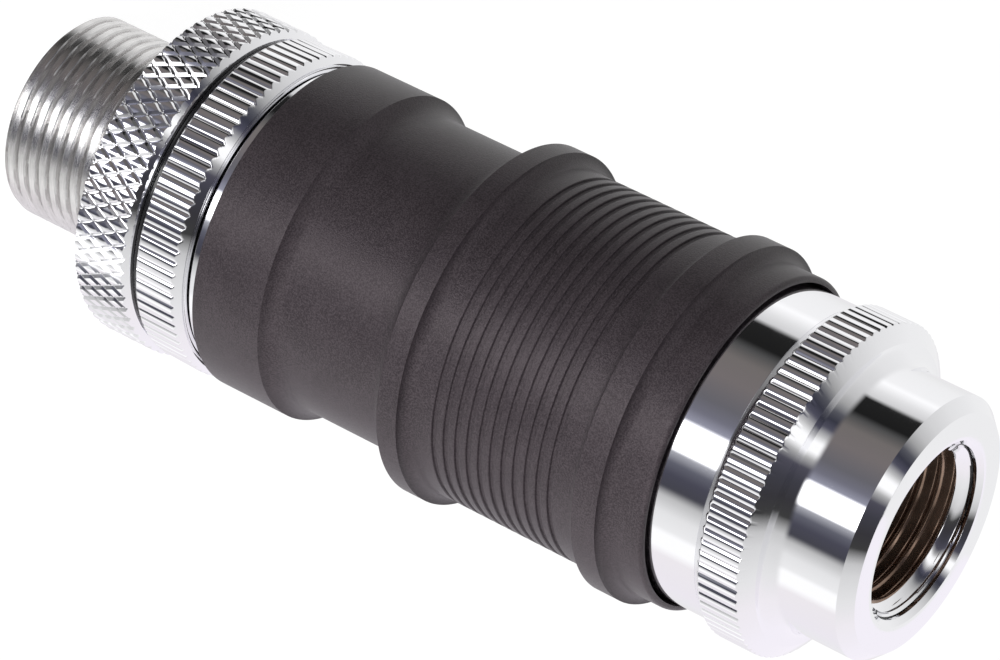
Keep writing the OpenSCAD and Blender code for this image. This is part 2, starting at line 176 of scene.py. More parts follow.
def chromeFinish():
    look = chromeLook
    material, graph, shader = newMaterial("polishedChrome", look["base"], look["rough"], 1.0)
    point = position(graph)
    smear = noise(graph, point, scale=0.35, detail=4.0, rough=0.6)      # faint haze from handling
    marks = turning(graph, point, along=14.0, around=0.25)              # turning that shows through the plate
    feed(graph, shader,
         rough=graph.ranged(smear, 0.4, 0.75) * look["haze"] + look["rough"],
         normal=bumped(graph, marks, look["wave"], 0.01))
    return material


nickelLook = {"base": colour(0.80, 0.79, 0.785), "dark": colour(0.67, 0.66, 0.655), "rough": 0.25,
              "marks": 0.35}

def nickelFinish():
    look = nickelLook
    material, graph, shader = newMaterial("satinNickel", look["base"], look["rough"], 1.0)
    point = position(graph)
    marks = turning(graph, point, along=22.0, around=0.5)               # fine lines left by the tool
    cloud = noise(graph, point, scale=0.9, detail=3.0)
    feed(graph, shader,
         base=graph.mixed(graph.ranged(marks * 0.6 + cloud * 0.4, 0.35, 0.65), look["dark"], look["base"]),
         rough=cloud * 0.05 + marks * 0.08 + (look["rough"] - 0.06),
         normal=bumped(graph, marks, look["marks"], 0.02))
    return material


anodisedLook = {"base": colour(0.024, 0.0195, 0.0225), "pale": colour(0.055, 0.0453, 0.0512), "rough": 0.37,
                "grain": 1.0, "shine": 0.29, "tint": colour(1.0, 0.90, 0.92)}

def anodisedFinish():
    look = anodisedLook
    material, graph, shader = newMaterial("blackAnodised", look["base"], look["rough"], 0.0,
                                          **{"Specular IOR Level": look["shine"],
                                             "Specular Tint": look["tint"]})
    point = position(graph)
    grain = noise(graph, point, scale=8.5, detail=1.5, rough=0.7)       # blasted skin under the dye
    blotch = noise(graph, point, scale=0.28, detail=3.0, rough=0.55)
    turned = turning(graph, point, along=9.0, around=0.4)
    tone = grain * 0.75 + blotch * 0.15 + turned * 0.1
    feed(graph, shader,
         base=graph.mixed(graph.ranged(tone, 0.36, 0.65), look["base"], look["pale"]),
         rough=grain * 0.10 + blotch * 0.06 + (look["rough"] - 0.08),
         normal=bumped(graph, grain * 0.85 + turned * 0.15, look["grain"], 0.03))
    return material


rubberLook = {"base": colour(0.012, 0.012, 0.013), "dust": colour(0.05, 0.05, 0.05), "wave": 0.25,
              "gasketRough": 0.13, "sealRough": 0.4}

def rubberFinish(name, rough):
    look = rubberLook
    material, graph, shader = newMaterial(name, look["base"], rough)
    point = position(graph)
    dust = noise(graph, point, scale=6.0, detail=3.0, rough=0.7)
    wave = noise(graph, point, scale=1.1, detail=2.0)
    feed(graph, shader,
         base=graph.mixed(graph.ranged(dust, 0.62, 0.78), look["base"], look["dust"]),
         rough=wave * 0.08 + (rough - 0.03),
         normal=bumped(graph, wave * 0.8 + dust * 0.2, look["wave"], 0.05))
    return material


def turnedFinish(name, base, shade, rough, metallic):   # plain turned or moulded pieces
    material, graph, shader = newMaterial(name, base, rough, metallic)
    point = position(graph)
    marks = turning(graph, point, along=12.0, around=0.5)
    cloud = noise(graph, point, scale=0.8, detail=3.0)
    feed(graph, shader,
         base=graph.mixed(graph.ranged(cloud, 0.35, 0.7), base, shade),
         rough=marks * 0.1 + cloud * 0.08 + (rough - 0.08),
         normal=bumped(graph, marks, strength=0.2, distance=0.015))
    return material


chrome = chromeFinish()
nickel = nickelFinish()
anodised = anodisedFinish()
gasketRubber = rubberFinish("glossyRubber", rubberLook["gasketRough"])
# the seals' dark rubber, which also paints shade into the gaps under the guide ring and round the port's
# lead-in cone
sealRubberAndPaintedShade = rubberFinish("sealRubberAndPaintedShade", rubberLook["sealRough"])

# Colour, its shade, roughness and how metallic
turnedLooks = {
    "turnedBrass": (colour(0.72, 0.53, 0.27), colour(0.60, 0.42, 0.20), 0.25, 1.0),
    "portBrass": (colour(0.36, 0.25, 0.19), colour(0.24, 0.16, 0.12), 0.17, 0.87),
    "innerNickel": (colour(0.70, 0.69, 0.67), colour(0.62, 0.61, 0.59), 0.24, 1.0),
    "springSteel": (colour(0.62, 0.62, 0.63), colour(0.5, 0.5, 0.51), 0.22, 1.0),
    "whiteSlipRing": (colour(0.88, 0.88, 0.85), colour(0.80, 0.80, 0.77), 0.45, 0.0),
    "naturalAcetal": (colour(0.80, 0.79, 0.74), colour(0.72, 0.71, 0.66), 0.42, 0.0)}
brass, bareBrass, innerNickel, springSteel, whiteSlip, acetal = (
    turnedFinish(name, *look) for name, look in turnedLooks.items())
print("materials made:", len(bpy.data.materials))


def arc(cr, cz, radius, start, end, steps=8):       # points of an arc, angles in degrees
    angles = [math.radians(start + (end - start) * k / steps) for k in range(steps + 1)]
    return [(cr + radius * math.cos(a), cz + radius * math.sin(a)) for a in angles]


def softened(outline, steps=4):                     # corners given as (r, z, radius) become arcs
    made = []
    for i, (r, z, *rounding) in enumerate(outline):
        before, after = outline[i - 1], outline[(i + 1) % len(outline)]
        a = math.atan2(before[1] - z, before[0] - r)
        b = math.atan2(after[1] - z, after[0] - r)
        half = abs(math.remainder(a - b, 2 * math.pi)) / 2
        if not rounding or half > 1.5:              # a sharp corner, or hardly a corner at all
            made.append((r, z))
            continue
        room = min(math.dist((r, z), before[:2]), math.dist((r, z), after[:2])) * 0.49
        cut = min(rounding[0] / math.tan(half), room)
        radius = cut * math.tan(half)
        away = radius / math.sin(half)
        middle = math.atan2(math.sin(a) + math.sin(b), math.cos(a) + math.cos(b))
        cr, cz = r + away * math.cos(middle), z + away * math.sin(middle)
        first = math.atan2(z + cut * math.sin(a) - cz, r + cut * math.cos(a) - cr)
        last = math.atan2(z + cut * math.sin(b) - cz, r + cut * math.cos(b) - cr)
        turn = math.remainder(last - first, 2 * math.pi)
        made += arc(cr, cz, radius, math.degrees(first), math.degrees(first + turn), steps)
    return made


def rows(r, low, high, step):                       # rows of points up or down a straight wall
    count = max(1, round(abs(high - low) / step))
    return [(r, low + (high - low) * k / count) for k in range(count + 1)]


def slope(start, end, steps):                       # points of a straight line, its end left out
    return [(start[0] + (end[0] - start[0]) * k / steps, start[1] + (end[1] - start[1]) * k / steps)
            for k in range(steps)]


def around(r, angle, z):                            # a point at this radius and height, in metres
    return (r * math.cos(angle) * mm, r * math.sin(angle) * mm, z * mm)


def turnedMesh(outline, angles, closed=True, shape=None):   # an (r, z) outline swept round the Z axis
    area = sum(p[0] * q[1] - q[0] * p[1] for p, q in zip(outline, outline[1:] + outline[:1]))
    if area < 0:                                    # so that the faces point outwards
        outline = outline[::-1]
    mesh = bmesh.new()
    grid = [[mesh.verts.new(around(shape(r, z, angle) if shape else r, angle, z)) for angle in angles]
            for r, z in outline]
    count = len(angles)
    for low, high in zip(grid, grid[1:] + grid[:1]):
        for j in range(count if closed else count - 1):
            k = (j + 1) % count
            mesh.faces.new((low[j], low[k], high[k], high[j]))
    return mesh


def fullTurn(columns):
    return [2 * math.pi * k / columns for k in range(columns)]


def plainData(mesh, name):
    data = bpy.data.meshes.new(name)
    mesh.to_mesh(data)
    mesh.free()
    return data


def finished(mesh, name, sharp=28.0):               # merges points, sets smooth faces and sharp edges
    bmesh.ops.remove_doubles(mesh, verts=mesh.verts, dist=weldGap * mm)
    bmesh.ops.dissolve_degenerate(mesh, edges=mesh.edges, dist=shortEdge * mm)
    limit = math.radians(sharp)
    for face in mesh.faces:
        face.smooth = True
    for edge in mesh.edges:
        edge.smooth = len(edge.link_faces) != 2 or edge.calc_face_angle(0) < limit
    return plainData(mesh, name)


def joined(*meshes):
    whole = bmesh.new()
    for data in meshes:
        whole.from_mesh(data)
    return whole


def asObject(name, data, material=None):
    made = bpy.data.objects.new(name, data)
    bpy.context.scene.collection.objects.link(made)
    if material:
        data.materials.clear()
        data.materials.append(material)
    return made


def pieceOf(name, data, material, body, node):
    made = asObject(name, data, material)
    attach(made, body)
    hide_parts(node)
    print("made", name, len(data.polygons), "faces")


def newTree(name, inputs):                          # inputs are each socket's type and starting value
    tree = bpy.data.node_groups.new(name, "GeometryNodeTree")
    tree.interface.new_socket("Geometry", in_out="INPUT", socket_type="NodeSocketGeometry")
    tree.interface.new_socket("Geometry", in_out="OUTPUT", socket_type="NodeSocketGeometry")
    for label, (kind, value) in inputs.items():
        socket = tree.interface.new_socket(label, in_out="INPUT", socket_type=kind)
        if value is not None:
            socket.default_value = value
    graph = Graph(tree)
    labels = ("Geometry", *inputs)
    return tree, graph, dict(zip(labels, graph.node("NodeGroupInput", out=labels)))


def endTree(graph, shape, material):
    whole = graph.node("GeometryNodeRealizeInstances", None, {"Geometry": shape})
    done = graph.node("GeometryNodeSetMaterial", None, {"Geometry": whole, "Material": material})
    graph.node("NodeGroupOutput", None, {0: done})


def roundTree():                                    # one sector, set down all the way round the axis
    tree, graph, given = newTree("setRound", {
        "Count": ("NodeSocketInt", 84), "Material": ("NodeSocketMaterial", None)})
    points = graph.node("GeometryNodePoints", None, {"Count": given["Count"]})
    index = graph.node("GeometryNodeInputIndex")
    turn = graph.node("ShaderNodeCombineXYZ", None, {2: index * (2 * math.pi) / given["Count"]})
    placed = graph.node("GeometryNodeInstanceOnPoints", None,
                        {"Points": points, "Instance": given["Geometry"], "Rotation": turn})
    endTree(graph, placed, given["Material"])
    return tree


# A right-hand thread cut into a plain turned wall. Crest and Root are the shares of the pitch that stay
# flat, Side is 1 for an outer thread and -1 for an inner one, and Wall names the attribute that says how
# deep to cut.
def threadTree():
    tree, graph, given = newTree("cutThread", {
        "Radius": ("NodeSocketFloat", 8.0), "Pitch": ("NodeSocketFloat", 1.0),
        "Depth": ("NodeSocketFloat", 0.6), "Crest": ("NodeSocketFloat", 0.12),
        "Root": ("NodeSocketFloat", 0.12), "Side": ("NodeSocketFloat", 1.0),
        "Wall": ("NodeSocketString", "cut"), "Material": ("NodeSocketMaterial", None)})
    point = graph.node("GeometryNodeInputPosition")
    x, y, z = (part / mm for part in graph.node("ShaderNodeSeparateXYZ", None, {0: point}, (0, 1, 2)))
    angle = graph.maths("ARCTAN2", y, x)
    turn = graph.maths("FRACT", z / given["Pitch"] - angle / (2 * math.pi))
    away = graph.maths("ABSOLUTE", turn * 2.0 - 1.0)            # 1 on the crest, 0 in the root
    flank = {0: away, 1: given["Root"], 2: 1.0 - given["Crest"], 3: 1.0, 4: 0.0}
    straight = graph.node("ShaderNodeMapRange", None, flank)
    rounded = graph.node("ShaderNodeMapRange", {"interpolation_type": "SMOOTHERSTEP"}, flank)
    cut = graph.node("GeometryNodeInputNamedAttribute", {"data_type": "FLOAT"}, {"Name": given["Wall"]})
    depth = (rounded * 0.45 + straight * 0.55) * given["Depth"] * cut
    across = graph.maths("SQRT", x * x + y * y)
    side = given["Side"]
    wanted = graph.maths("MINIMUM", across * side, given["Radius"] * side - depth) * side
    moved = graph.node("ShaderNodeCombineXYZ", None,
                       {0: x * wanted / across * mm, 1: y * wanted / across * mm, 2: z * mm})
    picked = graph.node("FunctionNodeCompare", {"data_type": "FLOAT", "operation": "GREATER_THAN"},
                        {0: cut, 1: 0.001})
    shaped = graph.node("GeometryNodeSetPosition", None,
                        {"Geometry": given["Geometry"], "Selection": picked, "Position": moved})
    endTree(graph, shaped, given["Material"])
    return tree


def withTree(data, tree, values):                   # runs a tree on a mesh and keeps the plain result
    holder = asObject("holder", data)
    modifier = holder.modifiers.new(tree.name, "NODES")
    modifier.node_group = tree
    for item in tree.interface.items_tree:
        if item.in_out == "INPUT" and item.name in values:
            modifier[item.identifier] = values[item.name]
    bpy.context.view_layer.update()
    seen = holder.evaluated_get(bpy.context.evaluated_depsgraph_get())
    result = bpy.data.meshes.new_from_object(seen)
    holder.modifiers.remove(modifier)
    bpy.data.objects.remove(holder)
    return result


setRound = roundTree()
cutThread = threadTree()


def markWall(data, name, share):                    # how much of the thread's depth is cut at each point
    layer = data.attributes.new(name, "FLOAT", "POINT")
    for vertex, value in zip(data.vertices, layer.data):
        x, y, z = vertex.co / mm
        value.value = share(math.hypot(x, y), z)


flutes = {"count": 84, "depth": 0.135, "half": 0.2, "crown": 0.03, "rim": 0.9}

# One V flute and its land, then all of them, between two heights of a flange's rim
def fluted(outline, widest, low, high, name, material):
    period = 2 * math.pi / flutes["count"]
    deep, half = flutes["depth"], flutes["half"]
    land = widest * period / 2 - half
    across = [half * k for k in (-1.0, -0.5, 0.0, 0.5, 1.0)] + [half + land * k for k in (0.5, 1.0, 1.5, 2.0)]

    def shape(r, z, angle):
        side = min(abs(angle), abs(angle - period)) * widest
        if r < widest - deep - flutes["rim"] or not low <= z <= high:
            return r
        groove = deep * max(0.0, 1 - side / half)
        crown = flutes["crown"] * min(1.0, (widest * period / 2 - side) / land) ** 2
        return min(r, widest - groove - crown)

    sector = plainData(turnedMesh(outline, [s / widest for s in across], False, shape), name)
    return withTree(sector, setRound, {"Count": flutes["count"], "Material": material})


def heights(node):                                  # lowest and highest Z of a CAD node
    low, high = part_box(node)
    return low[2] / mm, high[2] / mm


def radiusOf(node):
    low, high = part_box(node)
    return (high[0] - low[0]) / 2 / mm


stemLow, stemTop = heights("bulkhead_stem")
gasketLow, gasketTop = heights("panel_gasket")
stemThread = {"Radius": 8.0, "Pitch": 1.0, "Depth": 0.60, "Crest": 0.54, "Root": 0.05}
portThread = {"Radius": 5.7225, "Pitch": 1.337, "Depth": 0.84, "Crest": 0.12, "Root": 0.12}
stem = {"chamfer": 0.4, "bore": 5.0, "mouth": 6.6, "portDepth": 10.2, "runOut": 1.2, "inset": 0.1,
        "hidden": 0.95, "columns": 216}
stemFlange = {"radius": 12.83, "bore": 7.85, "edge": 0.12, "bevel": 0.75, "bevelIn": 0.53, "recess": 10.62,
              "recessDepth": 1.42, "barrelBore": 9.02, "barrelDepth": 3.1}


def makeTube():                                     # the threaded tube, with the port inside
    s, base, flange = stem, stemLow, gasketTop
    outer, bore = stemThread["Radius"], portThread["Radius"]
    inner = outer - s["inset"]
    lead = s["mouth"] - bore                        # height of the port's lead-in cone
    portEnd = base + s["portDepth"]
    tube = slope((s["mouth"], base), (bore, base + lead), 8)[::-1]
    tube += slope((outer - s["chamfer"], base), (outer, base + s["chamfer"]), 4)
    tube += rows(outer, base + s["chamfer"], flange, stemThread["Pitch"] / 12)
    tube += [(inner, flange + 0.05), (inner, flange + s["hidden"]), (s["bore"], flange + s["hidden"]),
             (s["bore"], portEnd)]
    tube += rows(bore, portEnd, base + lead, portThread["Pitch"] / 12)
    data = plainData(turnedMesh(tube, fullTurn(s["columns"])), "stemTube")
    wallMiddle = (s["mouth"] + outer - s["chamfer"]) / 2

    def outerShare(r, z):
        return 1.0 if r > wallMiddle and z < flange + 0.01 else 0.0

    def portShare(r, z):                            # the thread runs out at the port's end
        inPort = s["bore"] + 0.1 < r < wallMiddle and z < portEnd
        return min(1.0, (portEnd - z) / s["runOut"]) if inPort else 0.0

    markWall(data, "outerCut", outerShare)
    markWall(data, "portCut", portShare)
    data = withTree(data, cutThread, {**stemThread, "Side": 1.0, "Wall": "outerCut", "Material": nickel})
    return withTree(data, cutThread, {**portThread, "Side": -1.0, "Wall": "portCut", "Material": nickel})


def makeFlange():
    f, low, top, r = stemFlange, gasketTop, stemTop, stemFlange["radius"]
    bevel = top - f["bevel"]
    line = softened([(f["bore"], low), (r - f["edge"], low, crisp), (r, low + f["edge"], crisp)])
    line += [(r, bevel - 0.02)] + slope((r, bevel), (r - f["bevelIn"], top), 10)
    ledge, seat = top - f["recessDepth"], top - f["barrelDepth"]
    line += softened([(r - f["bevelIn"], top, crisp), (f["recess"], top), (f["recess"], ledge),
                      (f["barrelBore"], ledge), (f["barrelBore"], seat), (f["bore"], seat)])
    return fluted(line, r, low - 1, top + 1, "stemFlange", nickel)


flangeData = finished(joined(makeFlange()), "stemFlangeRing")
tubeData = finished(joined(makeTube()), "stemThread", 60)
stemData = plainData(joined(tubeData, flangeData), "stem")
pieceOf("stem", stemData, nickel, "stem", "bulkhead_stem")
stemData.materials.append(chrome)
for face in stemData.polygons:                      # the thread is satin, the flange polished
    face.material_index = 0 if face.index < len(tubeData.polygons) else 1


ringLow, ringTop = heights("guide_ring")
ringR = radiusOf("guide_ring")
guideRing = {"bore": 9.6, "gap": 0.12, "gapDepth": 0.45, "lip": 0.2, "edge": 0.15, "columns": 360}


def guideOutline():
    g, gapTop = guideRing, ringLow + guideRing["gap"]
    return softened([
        (g["bore"], ringLow), (ringR - g["gapDepth"], ringLow), (ringR - g["gapDepth"], gapTop),
        (ringR - g["lip"], gapTop, 0.04), (ringR, gapTop + g["lip"], 0.08),
        (ringR, ringTop - g["edge"], crisp), (ringR - g["edge"], ringTop, crisp), (g["bore"], ringTop)])


guideData = finished(turnedMesh(guideOutline(), fullTurn(guideRing["columns"])), "guideRing")
pieceOf("guideRing", guideData, chrome, "stem", "guide_ring")
guideData.materials.append(sealRubberAndPaintedShade)
for face in guideData.polygons:                     # painted shade: the gap under the ring takes the dark rubber
    face.material_index = 1 if face.center.z / mm < ringLow + guideRing["gap"] + 0.001 else 0


gasket = {"bore": 8.15, "edge": 0.14, "columns": 240}
gasketR = radiusOf("panel_gasket")
gasketOutline = softened([(gasket["bore"], gasketLow), (gasketR, gasketLow, gasket["edge"]),
                          (gasketR, gasketTop, gasket["edge"]), (gasket["bore"], gasketTop)])
pieceOf("gasket", finished(turnedMesh(gasketOutline, fullTurn(gasket["columns"])), "gasket"), gasketRubber,
        "gasket", "panel_gasket")


sleeveLow, sleeveTop = heights("coupling_sleeve")
sleeve = {"radius": 12.8, "waist": 11.77, "collar": 13.73, "tail": 6.05, "tailCove": 1.6, "collar1": 17.45,
          "collar1Width": 1.7, "grip": 21.56, "grooves": 11, "pitch": 1.0, "grooveWidth": 0.44,
          "grooveDepth": 0.21, "grooveLean": 0.04, "collar2": 34.32, "collar2Width": 1.98, "mouthRound": 0.32,
          "mouth": 12.35, "mouthDepth": 3.7, "threadBore": 11.5, "threadDepth": 10, "bore": 10.9,
          "journal": 10.05, "journalTop": 9.1, "tailBore": 12.08, "tailDepth": 2.4, "columns": 360}


def sleeveOutline():
    s, low, top = sleeve, sleeveLow, sleeveTop
    r, w, c = s["radius"], s["waist"], s["collar"]
    drop, rise, step = r - w, c - w, c - r
    turn = math.degrees(math.acos(1 - drop / s["tailCove"]))
    foot = low + s["tail"] + s["tailCove"] * math.sin(math.radians(turn))
    collar1, collar2 = low + s["collar1"], low + s["collar2"]
    line = softened([(s["tailBore"], low), (r, low, 0.12), (r, low + s["tail"])])[:-1]
    line += arc(w + s["tailCove"], foot, s["tailCove"], 180 + turn, 180, 10)
    line += arc(w + rise, collar1 - rise, rise, 180, 90, 12)
    line += [(c, collar1), (c, collar1 + s["collar1Width"])]
    line += arc(r + step, collar1 + s["collar1Width"] + step, step, 270, 180, 8)
    for k in range(s["grooves"]):
        z, end = low + s["grip"] + k * s["pitch"], low + s["grip"] + k * s["pitch"] + s["grooveWidth"]
        d, lean = r - s["grooveDepth"], s["grooveLean"]
        line += softened([(r, z - 0.12), (r, z, crisp), (d, z + lean, crisp), (d, end - lean, crisp),
                          (r, end, crisp), (r, end + 0.12)], 3)
    line += arc(r + step, collar2 - step, step, 180, 90, 8)
    line += [(c, collar2), (c, collar2 + s["collar2Width"])]
    line += arc(r + step, collar2 + s["collar2Width"] + step, step, 270, 180, 8)
    line += arc(r - s["mouthRound"], top - s["mouthRound"], s["mouthRound"], 0, 90, 6)
    line += [(s["mouth"] + 0.02, top), (s["mouth"], top - 0.05), (s["mouth"], top - s["mouthDepth"]),
             (s["threadBore"], top - s["mouthDepth"]), (s["threadBore"], top - s["threadDepth"]),
             (s["bore"], top - s["threadDepth"]), (s["bore"], low + s["journalTop"]),
             (s["journal"], low + s["journalTop"]), (s["journal"], low + s["tailDepth"]),
             (s["tailBore"], low + s["tailDepth"])]
    return line


pieceOf("sleeve", finished(turnedMesh(sleeveOutline(), fullTurn(sleeve["columns"])), "sleeve", 32), anodised,
        "sleeve", "coupling_sleeve")


nutLow, nutTop = heights("bulkhead_nut")
# The profile runs from a groove's middle to a diamond's: share of the way across, share of the depth
nut = {"radius": 13.05, "count": 68, "length": 2.09, "depth": 0.22, "bevel": 0.42, "bevelIn": 0.6,
       "bevelBelow": 0.28, "bore": 8.05, "edge": 0.1, "spare": 0.4, "toolBore": 7, "columns": 272,
       "profile": [(0, 1.0), (0.1, 0.62), (0.2, 0.26), (0.36, 0.1), (0.5, 0.0)]}


def nutSector():                                    # one diamond of each row, beyond both ends of the nut
    n = nut
    width = 2 * math.pi * n["radius"] / n["count"]
    profile = n["profile"] + [(1 - at, depth) for at, depth in reversed(n["profile"][:-1])]
    middle = (nutLow + nutTop) / 2
    reach = math.ceil((nutTop - nutLow) / n["length"]) + 1
    mesh = bmesh.new()
    for k in range(-reach, reach + 1):
        aside = 0.5 if k % 2 == 0 else 0.0          # each row sits half a diamond on from the last
        grid = []
        for p, pDepth in profile:
            line = []
            for q, qDepth in profile:
                across = (aside + (p - 0.5 + q - 0.5) / 2) * width
                up = middle + (k / 2 + (p - 0.5 - (q - 0.5)) / 2) * n["length"]
                r = n["radius"] - n["depth"] * max(pDepth, qDepth)
                line.append(mesh.verts.new(around(r, across / n["radius"], up)))
            grid.append(line)
        for low, high in zip(grid, grid[1:]):
            for j in range(len(profile) - 1):
                mesh.faces.new((high[j], high[j + 1], low[j + 1], low[j]))
    return plainData(mesh, "nutSector")


def openEdges(mesh):
    return [edge for edge in mesh.edges if len(edge.link_faces) == 1]


def knurlTool():                                    # a closed ring with the knurl outside
    skin = joined(withTree(nutSector(), setRound, {"Count": nut["count"], "Material": chrome}))
    bmesh.ops.remove_doubles(skin, verts=skin.verts, dist=0.002 * mm)
    ends = bmesh.ops.extrude_edge_only(skin, edges=openEdges(skin))["geom"]
    for vertex in (part for part in ends if isinstance(part, bmesh.types.BMVert)):
        x, y, z = vertex.co
        vertex.co = around(nut["toolBore"], math.atan2(y, x), z / mm)
    bmesh.ops.bridge_loops(skin, edges=openEdges(skin))
    bmesh.ops.recalc_face_normals(skin, faces=skin.faces)
    return asObject("knurlTool", plainData(skin, "knurlTool"))


def makeNut():
    n = nut
    knurl = knurlTool()
    blank = softened([(n["bore"], nutLow), (n["radius"] - n["edge"], nutLow, 0.04),
                      (n["radius"] + n["spare"], nutLow + n["spare"]),
                      (n["radius"] + n["spare"], nutTop - n["bevel"] - n["bevelBelow"]),
                      (n["radius"] - n["bevelIn"], nutTop, crisp), (n["bore"], nutTop)])
    body = asObject("nutBlank", plainData(turnedMesh(blank, fullTurn(n["columns"])), "nutBlank"), chrome)
    cut = body.modifiers.new("knurl", "BOOLEAN")
    cut.operation, cut.solver, cut.object = "INTERSECT", "EXACT", knurl
    bpy.context.view_layer.update()
    data = bpy.data.meshes.new_from_object(body.evaluated_get(bpy.context.evaluated_depsgraph_get()))
    for item in (body, knurl):
        bpy.data.objects.remove(item)
    return finished(joined(data), "nut", 22)


pieceOf("nut", makeNut(), chrome, "nut", "bulkhead_nut")


plugLow, plugTop = heights("plug_body")
plugThread = {"Radius": 11.45, "Pitch": 1.5, "Depth": 0.85, "Crest": 0.14, "Root": 0.12}
barrel = {"radius": 12.1, "nose": 7.95, "noseEdge": 0.3, "shoulder": 52.75, "step": 58.55, "inset": 0.1,
          "runOut": 1.0, "edge": 0.15, "sealZ": 47.5, "sealGroove": 1.3, "sealDepth": 1, "seat": 4.4,
          "seatDepth": 1.2, "chamber": 6.0, "chamberZ": 2.8, "tailZ": 60.02, "adapterBore": 9.02,
          "recess": 10.62, "recessDepth": 1.44, "columns": 300}


def makeBarrel():
    b, low, top, outer = barrel, plugLow, plugTop, plugThread["Radius"]
    sealLow, sealTop = b["sealZ"] - b["sealGroove"] / 2, b["sealZ"] + b["sealGroove"] / 2
    sealFloor, threadEnd = b["nose"] - b["sealDepth"], b["step"] - b["inset"]
    line = [(b["seat"], low), (b["nose"] - b["noseEdge"], low), (b["nose"], low + b["noseEdge"]),
            (b["nose"], sealLow), (sealFloor, sealLow), (sealFloor, sealTop), (b["nose"], sealTop),
            (b["nose"], b["shoulder"]), (outer - b["inset"], b["shoulder"])]
    line += rows(outer, b["shoulder"] + b["inset"], threadEnd, plugThread["Pitch"] / 14)
    line += softened([(outer, b["step"]), (b["radius"] - b["edge"], b["step"], 0.04),
                      (b["radius"], b["step"] + b["edge"], 0.04), (b["radius"], top), (b["recess"], top),
                      (b["recess"], top - b["recessDepth"]), (b["adapterBore"], top - b["recessDepth"]),
                      (b["adapterBore"], b["tailZ"]), (b["chamber"], b["tailZ"]),
                      (b["chamber"], low + b["chamberZ"]), (b["seat"], low + b["seatDepth"])])
    data = plainData(turnedMesh(line, fullTurn(b["columns"])), "barrel")

    def outerShare(r, z):                           # the thread runs out at the barrel's step
        onThread = abs(r - outer) < 0.2 and b["shoulder"] - 0.01 <= z < threadEnd
        return min(1.0, (threadEnd - z) / b["runOut"]) if onThread else 0.0

    markWall(data, "outerCut", outerShare)
    data = withTree(data, cutThread, {**plugThread, "Side": 1.0, "Wall": "outerCut", "Material": chrome})
    return finished(joined(data), "plugBarrel", 40)


pieceOf("plugBarrel", makeBarrel(), chrome, "plug", "plug_body")

adapterLow, adapterTop = heights("plug_adapter")
adapter = {"radius": 12.74, "foot": 12.1, "spigot": 8.98, "rim": 0.78, "rimRound": 0.08, "flutes": 3.04,
           "bevel": 0.44, "bevelIn": 0.66, "crest": 0.36, "crestIn": 0.6, "neck": 10.03, "cove": 1.3,
           "chamfer": 0.92, "edge": 0.06, "sink": 7.05, "sinkDepth": 0.32, "hole": 6.62, "bore": 5.0,
           "portDepth": 10.2}


def makeAdapter():
    a, r, face, rim = adapter, adapter["radius"], adapterTop, plugTop
    first = rim + a["rim"]
    last = first + a["flutes"]
    shoulder = last + a["bevel"] + a["crest"]
    line = [(a["bore"], adapterLow), (a["spigot"], adapterLow), (a["spigot"], rim), (a["foot"] - 0.02, rim)]
    line += slope((a["foot"], rim + 0.02), (r, first), 9)
    line += arc(r - a["rimRound"], first + 0.02, a["rimRound"], -38, 0, 3)
    ledge, crest = r - a["bevelIn"], r - a["bevelIn"] - a["crestIn"]
    bevel = [(r - k * flutes["depth"], last + k * flutes["depth"] * a["bevel"] / a["bevelIn"])
             for k in (0, 0.5, 1, 1.25, 1.5)]       # rows for the flutes to run out over
    line += bevel[:-1]
    line += softened([bevel[-1], (ledge, last + a["bevel"], 0.12), (crest, shoulder, crisp),
                      (crest - 0.3, shoulder)])[1:-1]
    line += arc(a["neck"] + a["cove"], shoulder + a["cove"], a["cove"], 268, 180, 18)
    line += softened([(a["neck"], shoulder + a["cove"] + 0.3), (a["neck"], face - a["chamfer"], a["edge"]),
                      (a["neck"] - a["chamfer"], face, a["edge"]), (a["sink"], face, crisp),
                      (a["hole"], face - a["sinkDepth"], crisp), (a["hole"], face - a["portDepth"]),
                      (a["bore"], face - a["portDepth"])])
    return finished(joined(fluted(line, r, rim - 0.1, shoulder + 0.1, "adapter", chrome)), "adapter", 30)


pieceOf("adapter", makeAdapter(), chrome, "plug", "plug_adapter")


port = {"drop": 0.26, "lip": 0.04, "gap": 0.1, "gapDepth": 0.16, "overlap": 0.06, "runOut": 1.2,
        "platedDepth": 1.6, "gapReach": 0.8, "columns": 240}
gapR = adapter["hole"] - port["gap"] + 0.005        # what lies outside this is the gap round the lead-in cone


def makePort():                                     # the threaded wall in the adapter's hole
    p, hole, bore = port, adapter["hole"], portThread["Radius"]
    top, low = adapterTop - adapter["sinkDepth"] - p["drop"], adapterTop - adapter["portDepth"] + 0.02
    mouth = (hole - p["gap"], top - p["lip"])
    coneEnd = (bore, mouth[1] - (mouth[0] - bore))
    line = [(hole + p["overlap"], low), (hole + p["overlap"], top - p["gapDepth"]),
            (mouth[0] + 0.01, top - p["gapDepth"])]
    line += slope(mouth, coneEnd, 8) + rows(bore, coneEnd[1], low, portThread["Pitch"] / 14)
    data = plainData(turnedMesh(line, fullTurn(p["columns"])), "port")

    def portShare(r, z):                            # the thread runs out at the port's end
        return min(1.0, (z - low) / p["runOut"]) if r < gapR else 0.0

    markWall(data, "portCut", portShare)
    data = withTree(data, cutThread, {**portThread, "Side": -1.0, "Wall": "portCut", "Material": bareBrass})
    return finished(joined(data), "plugPort", 60)


portData = makePort()
pieceOf("plugPort", portData, bareBrass, "plug", "plug_adapter")
portData.materials.append(chrome)
portData.materials.append(sealRubberAndPaintedShade)
for face in portData.polygons:                      # plated to the lead-in cone; painted shade: the gap round it takes the dark rubber
    x, y, z = face.center / mm
    inGap = math.hypot(x, y) > gapR and z > adapterTop - port["gapReach"]
    face.material_index = 2 if inGap else 1 if z > adapterTop - port["platedDepth"] else 0


